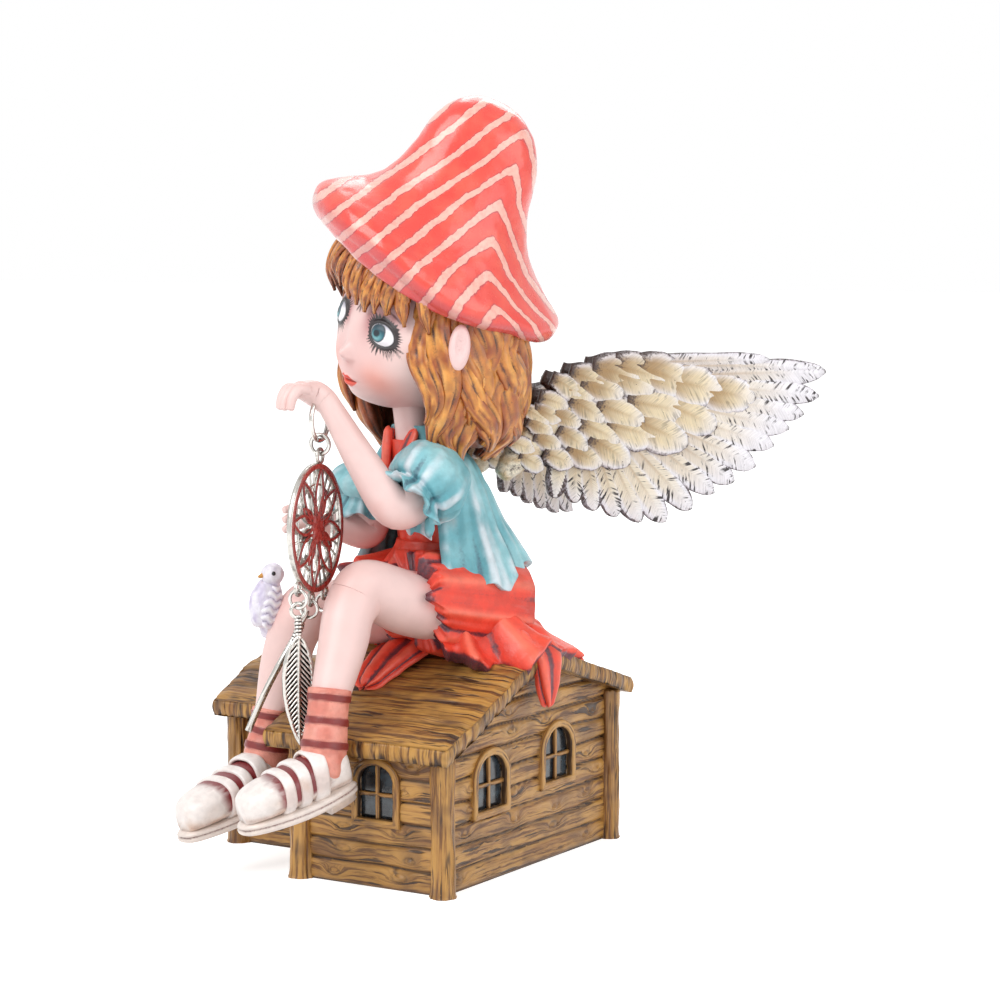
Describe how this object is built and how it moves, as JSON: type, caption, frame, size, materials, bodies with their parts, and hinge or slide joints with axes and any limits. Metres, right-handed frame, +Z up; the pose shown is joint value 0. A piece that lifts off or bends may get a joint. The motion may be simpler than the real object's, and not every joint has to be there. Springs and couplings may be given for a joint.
{
  "type": "fairy figurine",
  "caption": "Seated fairy figurine with feathered wings and a mushroom hat on a small timber cottage, holding a hanging dreamcatcher charm with metal feathers; stands on its flat base.",
  "frame": {"origin": "centre of the cottage's plan on its flat underside", "axes": "+Z up; the cottage's eave side with the front bay faces -Y and its gable with two windows faces +X"},
  "size_m": [0.1157, 0.1705, 0.1844],
  "materials": {
    "resin_wood": "cast polyresin painted as weathered timber, satin",
    "wing_paint": "cast polyresin painted cream and white with dark feather strokes",
    "antique_silver": "plated zinc alloy with a dark antique wash and red enamel on the disc"
  },
  "bodies": {
    "figurine": {"figurine_casting": "resin_wood", "wing_left": "wing_paint", "wing_right": "wing_paint"},
    "hand_ring": {"hand_ring": "antique_silver"},
    "link_ring": {"link_ring": "antique_silver"},
    "dreamcatcher_disc": {"dreamcatcher_disc": "antique_silver"},
    "feather_ring_1": {"feather_ring_1": "antique_silver"},
    "feather_1": {"feather_1": "antique_silver"},
    "feather_ring_2": {"feather_ring_2": "antique_silver"},
    "feather_2": {"feather_2": "antique_silver"},
    "feather_ring_3": {"feather_ring_3": "antique_silver"}
  },
  "joints": [
    {"name": "hand_ring_swing", "type": "hinge", "parent": "figurine", "child": "hand_ring", "pos_m": [0.00101, -0.03381, 0.1132], "axis": [-0.2164, 0.9763, 0], "range_deg": [0, 3]},
    {"name": "link_swing", "type": "hinge", "parent": "hand_ring", "child": "link_ring", "pos_m": [0.00101, -0.03381, 0.1034], "axis": [-0.2164, 0.9763, 0], "range_deg": [0, 4]},
    {"name": "disc_swing", "type": "hinge", "parent": "link_ring", "child": "dreamcatcher_disc", "pos_m": [0.00101, -0.03381, 0.1002], "axis": [0.9763, 0.2164, 0], "range_deg": [-4, 0]},
    {"name": "feather_ring_1_swing", "type": "hinge", "parent": "dreamcatcher_disc", "child": "feather_ring_1", "pos_m": [0.00386, -0.04669, 0.06852], "axis": [-0.2164, 0.9763, 0], "range_deg": [0, 5]},
    {"name": "feather_1_swing", "type": "hinge", "parent": "feather_ring_1", "child": "feather_1", "pos_m": [0.00386, -0.04669, 0.06546], "axis": [0.9763, 0.2164, 0], "range_deg": [-4, 4]},
    {"name": "feather_ring_2_swing", "type": "hinge", "parent": "dreamcatcher_disc", "child": "feather_ring_2", "pos_m": [0.00227, -0.0395, 0.06524], "axis": [-0.2164, 0.9763, 0], "range_deg": [-2, 2]},
    {"name": "feather_2_swing", "type": "hinge", "parent": "feather_ring_2", "child": "feather_2", "pos_m": [0.00087, -0.03981, 0.06254], "axis": [0.862, 0.1911, -0.4695], "range_deg": [-3, 3]},
    {"name": "feather_ring_3_swing", "type": "hinge", "parent": "dreamcatcher_disc", "child": "feather_ring_3", "pos_m": [0.00053, -0.03165, 0.0658], "axis": [-0.2164, 0.9763, 0], "range_deg": [-5, 5]}
  ]
}
